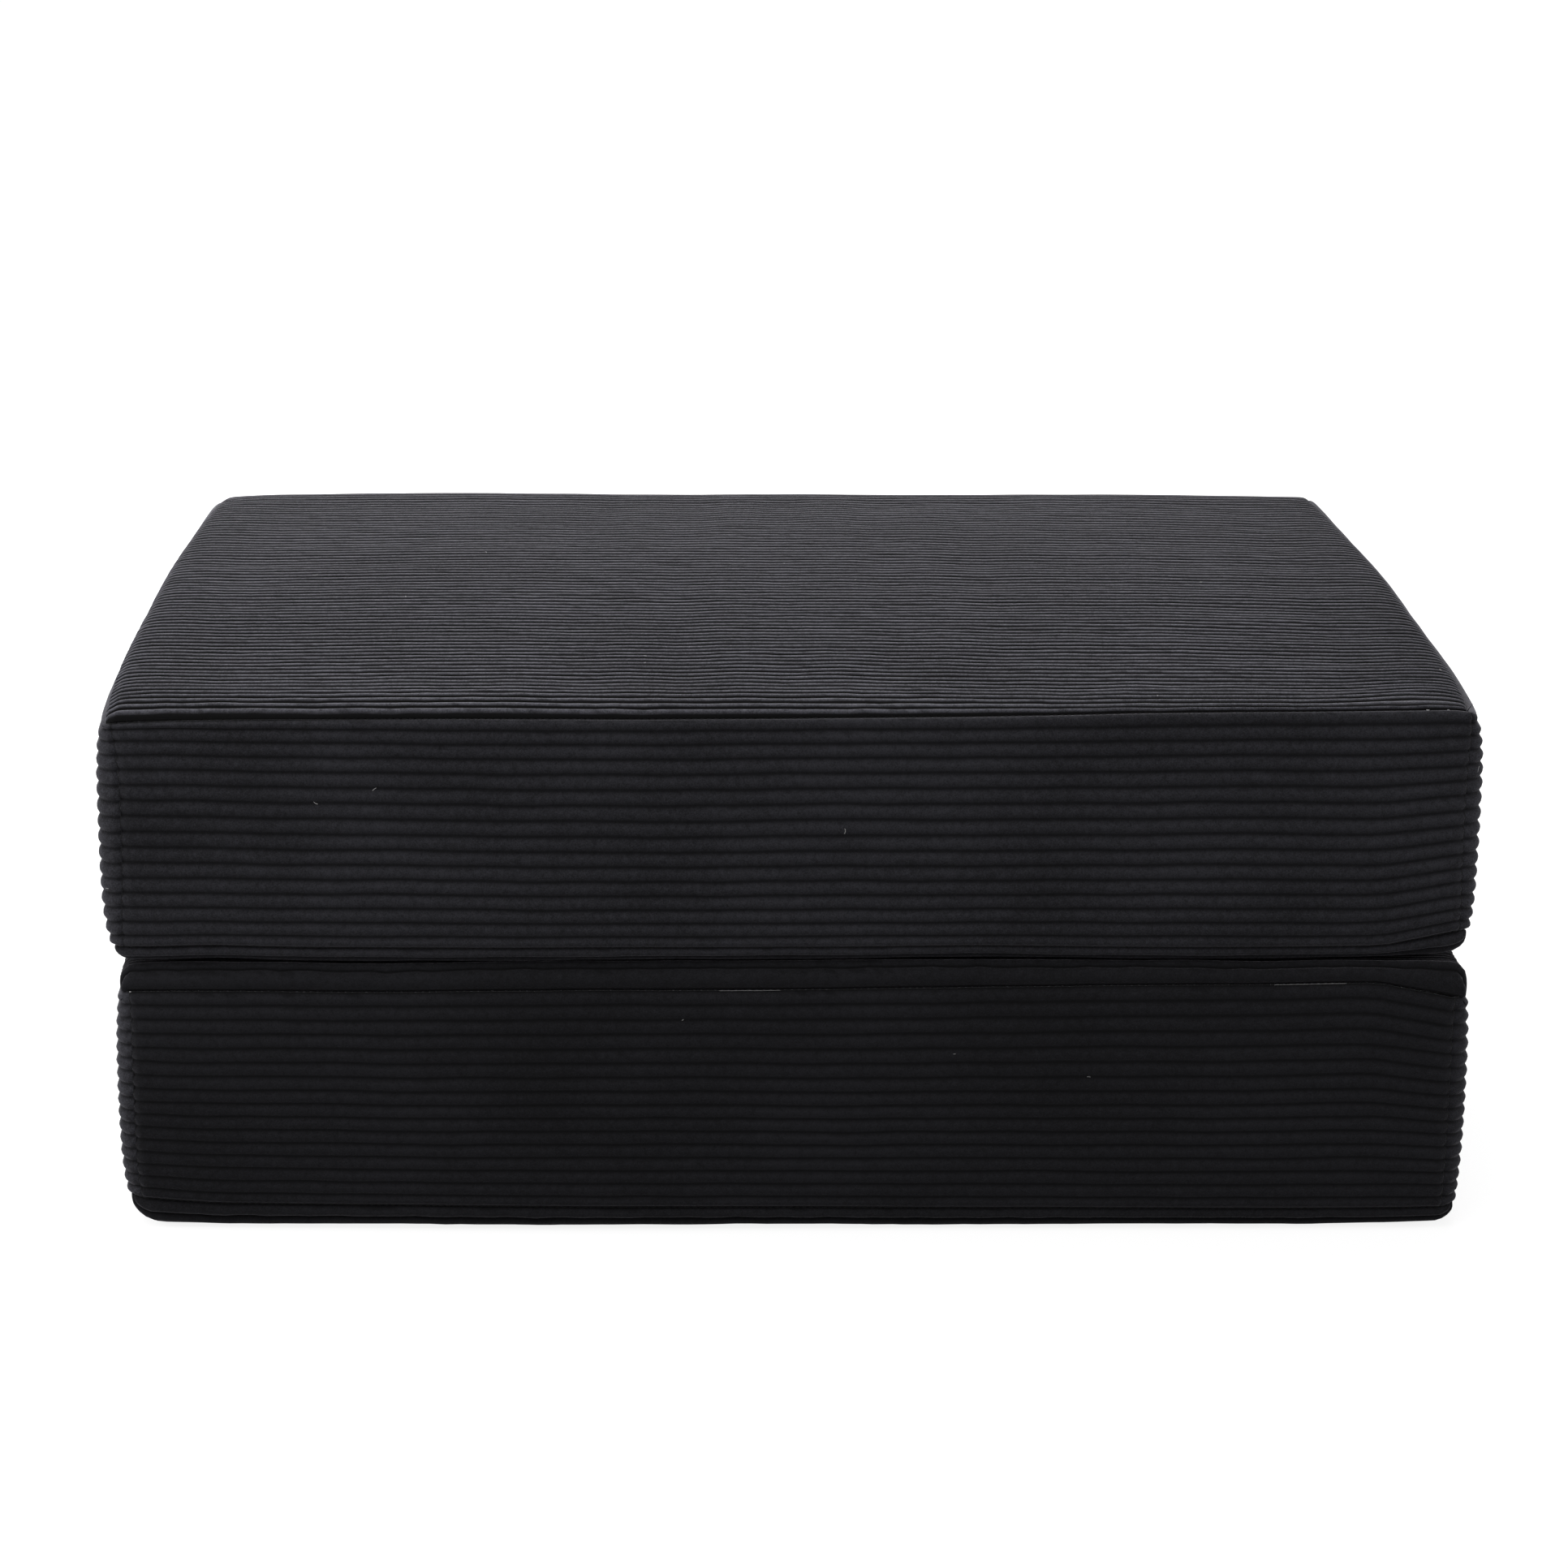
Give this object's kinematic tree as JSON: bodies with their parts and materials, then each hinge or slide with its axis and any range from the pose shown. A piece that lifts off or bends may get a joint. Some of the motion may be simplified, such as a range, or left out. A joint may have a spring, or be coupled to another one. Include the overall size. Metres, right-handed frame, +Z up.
{
  "type": "fold-out ottoman guest bed",
  "caption": "Ottoman of stacked foam blocks in wide-wale corduroy covers; the upper block swings over on a fabric hinge to lie end to end as a single bed.",
  "frame": {"origin": "on the floor, under the middle of the folded stack", "axes": "+X along the blocks towards the hinged end, +Y to the zipped back, +Z up"},
  "size_m": [1.0002, 0.8, 0.4],
  "materials": {
    "corduroy": "black wide-wale corduroy, soft pile",
    "foam": "open-cell polyurethane foam",
    "liner": "thin non-woven sock",
    "zip_tape": "woven polyester tape",
    "zip_coil": "nylon coil",
    "zip_metal": "black lacquer on die-cast zinc"
  },
  "bodies": {
    "lower_block": {"lower_top_panel": "corduroy", "lower_bottom_panel": "corduroy", "lower_front_band": "corduroy", "lower_left_band": "corduroy", "lower_right_band": "corduroy", "lower_back_band_upper": "corduroy", "lower_back_band_lower": "corduroy", "lower_hinge_flap": "corduroy", "lower_foam_core": "foam", "lower_foam_liner": "liner", "lower_zip_tape_upper": "zip_tape", "lower_zip_tape_lower": "zip_tape", "lower_zip_coil_upper": "zip_coil", "lower_zip_coil_lower": "zip_coil", "lower_zip_stops": "zip_metal"},
    "lower_zip_slider": {"lower_zip_slider": "zip_metal"},
    "lower_zip_pull": {"lower_zip_pull": "zip_metal"},
    "upper_block": {"upper_top_panel": "corduroy", "upper_bottom_panel": "corduroy", "upper_front_band": "corduroy", "upper_left_band": "corduroy", "upper_right_band": "corduroy", "upper_back_band_upper": "corduroy", "upper_back_band_lower": "corduroy", "upper_hinge_flap": "corduroy", "upper_foam_core": "foam", "upper_foam_liner": "liner", "upper_zip_tape_upper": "zip_tape", "upper_zip_tape_lower": "zip_tape", "upper_zip_coil_upper": "zip_coil", "upper_zip_coil_lower": "zip_coil", "upper_zip_stops": "zip_metal"},
    "upper_zip_slider": {"upper_zip_slider": "zip_metal"},
    "upper_zip_pull": {"upper_zip_pull": "zip_metal"}
  },
  "joints": [
    {"name": "fold_hinge", "type": "hinge", "parent": "lower_block", "child": "upper_block", "pos_m": [0.5003, 0, 0.2], "axis": [0, 1, 0], "range_deg": [0, 180]},
    {"name": "lower_zip_slide", "type": "slide", "parent": "lower_block", "child": "lower_zip_slider", "axis": [1, 0, 0], "range_m": [0, 0.8084]},
    {"name": "lower_pull_swing", "type": "hinge", "parent": "lower_zip_slider", "child": "lower_zip_pull", "pos_m": [-0.4042, 0.3981, 0.09985], "axis": [0, 0, 1], "range_deg": [0, 180]},
    {"name": "upper_zip_slide", "type": "slide", "parent": "upper_block", "child": "upper_zip_slider", "axis": [1, 0, 0], "range_m": [0, 0.8084]},
    {"name": "upper_pull_swing", "type": "hinge", "parent": "upper_zip_slider", "child": "upper_zip_pull", "pos_m": [-0.4042, 0.3981, 0.30015], "axis": [0, 0, 1], "range_deg": [0, 180]}
  ]
}
